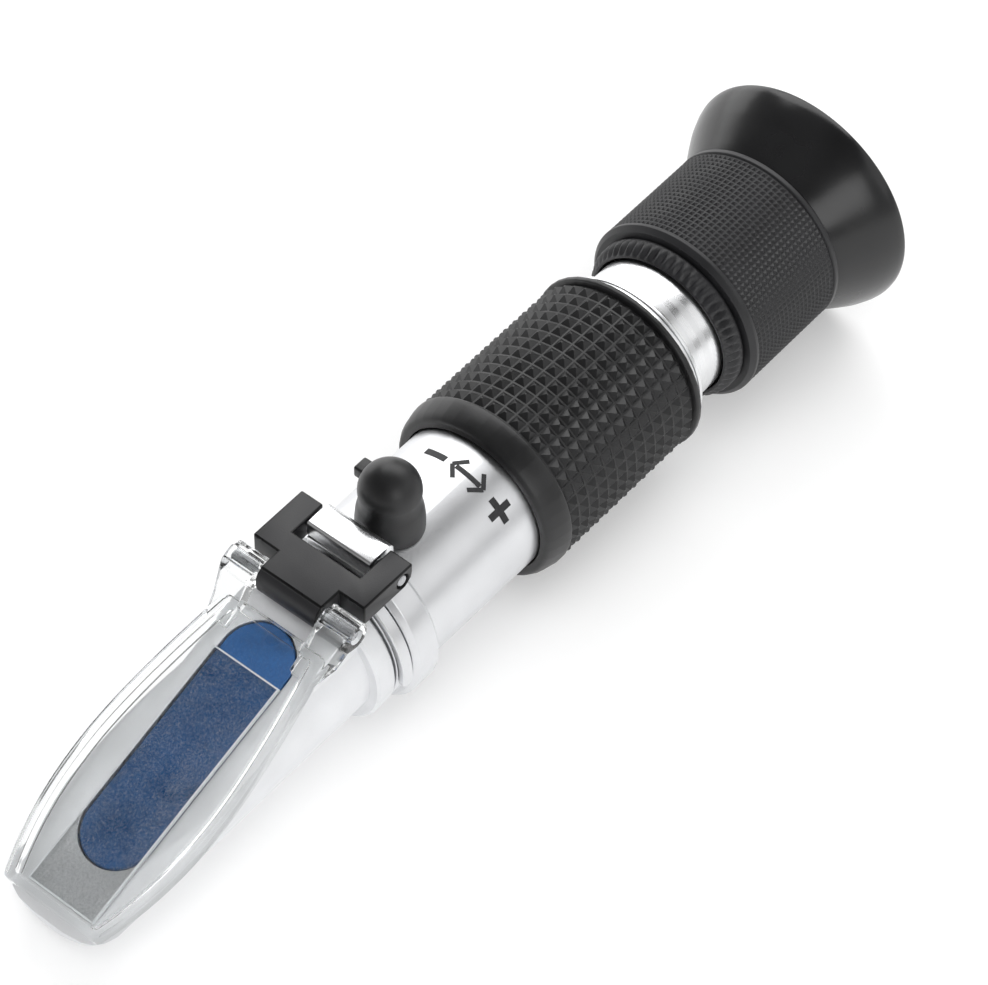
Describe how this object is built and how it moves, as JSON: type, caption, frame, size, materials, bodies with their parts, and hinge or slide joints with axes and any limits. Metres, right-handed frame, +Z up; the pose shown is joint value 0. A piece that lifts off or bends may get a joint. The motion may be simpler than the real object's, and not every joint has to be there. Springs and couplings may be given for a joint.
{
  "type": "handheld refractometer",
  "caption": "Handheld refractometer: hinged clear daylight plate over a blue prism, satin tube with rubber grip, capped calibration screw, knurled focusing ring and flared eyecup.",
  "frame": {"origin": "centre of the object's bounding box with the daylight plate closed", "axes": "+X along the optical axis towards the eyecup, +Z up through the daylight plate and the calibration cap, +Y across"},
  "size_m": [0.17, 0.04, 0.044],
  "materials": {
    "satin_aluminium": "satin sandblasted aluminium, clear anodised",
    "bright_aluminium": "fine-turned bright aluminium",
    "black_plastic": "moulded black plastic",
    "black_rubber": "moulded black rubber",
    "black_anodised": "black anodised aluminium",
    "steel": "bright steel",
    "brass": "turned brass",
    "bimetal": "rolled two-metal strip",
    "clear_acrylic": "clear moulded acrylic",
    "frosted_acrylic": "frosted acrylic",
    "optical_glass": "coated optical glass",
    "blue_prism_glass": "polished blue prism glass"
  },
  "bodies": {
    "root": {"head_casting": "satin_aluminium", "prism": "blue_prism_glass", "prism_seal": "black_rubber", "collar": "satin_aluminium", "hinge_strap": "satin_aluminium", "hinge_lug": "bright_aluminium", "lug_pin": "steel", "collar_grub_1": "steel", "collar_grub_2": "steel", "collar_grub_3": "steel", "main_tube": "satin_aluminium", "grip_sleeve": "black_rubber", "rear_flange": "bright_aluminium", "draw_tube": "bright_aluminium", "tube_o_ring": "black_rubber", "front_stop": "black_anodised", "light_baffle": "black_anodised", "reticle_cell": "black_anodised", "reticle": "optical_glass", "reticle_ring": "black_anodised", "strip_anchor": "black_anodised", "bimetal_strip": "bimetal", "strip_screw_1": "steel", "strip_screw_2": "steel", "calibration_boss": "brass"},
    "hinge_block": {"hinge_block": "black_plastic", "plate_pin": "steel"},
    "daylight_plate": {"daylight_plate": "clear_acrylic", "diffuser_pad": "frosted_acrylic"},
    "calibration_cap": {"calibration_cap": "black_rubber"},
    "calibration_screw": {"calibration_screw": "steel"},
    "objective": {"objective_carriage": "black_anodised", "objective_lens": "optical_glass", "objective_retainer": "black_anodised"},
    "eyepiece": {"eyepiece_barrel": "black_anodised", "guide_screw": "steel", "field_lens": "optical_glass", "lens_spacer": "black_anodised", "eye_lens": "optical_glass", "eye_lens_ring": "black_anodised"},
    "focus_ring": {"focus_ring": "black_plastic", "clamp_ring": "black_plastic", "toothed_ring": "black_plastic", "eyecup": "black_rubber"}
  },
  "joints": [
    {"name": "block_swing", "type": "hinge", "parent": "root", "child": "hinge_block", "pos_m": [-0.0222, 0, 0.01388], "axis": [0, 1, 0], "range_deg": [0, 95]},
    {"name": "plate_tilt", "type": "hinge", "parent": "hinge_block", "child": "daylight_plate", "pos_m": [-0.0334, 0, 0.01337], "axis": [0, 1, 0], "range_deg": [0, 12]},
    {"name": "cap_pull", "type": "slide", "parent": "root", "child": "calibration_cap", "axis": [0, 0, 1], "range_m": [0, 0.014]},
    {"name": "screw_turn", "type": "hinge", "parent": "root", "child": "calibration_screw", "pos_m": [-0.013, 0, 0.01448], "axis": [0, 0, 1], "range_deg": [-360, 360]},
    {"name": "carriage_shift", "type": "slide", "parent": "root", "child": "objective", "axis": [0, 0, 1], "range_m": [-0.00035, 0.00035]},
    {"name": "focus_travel", "type": "slide", "parent": "root", "child": "eyepiece", "axis": [1, 0, 0], "range_m": [-0.002, 0.002]},
    {"name": "focus_turn", "type": "hinge", "parent": "eyepiece", "child": "focus_ring", "pos_m": [0.058, 0, -0.00202], "axis": [1, 0, 0], "range_deg": [-144, 144]}
  ],
  "couplings": [
    {"joint": "screw_turn", "follows": "carriage_shift", "rad_per_m": 17952},
    {"joint": "focus_travel", "follows": "focus_turn", "m_per_rad": 0.00079577}
  ]
}
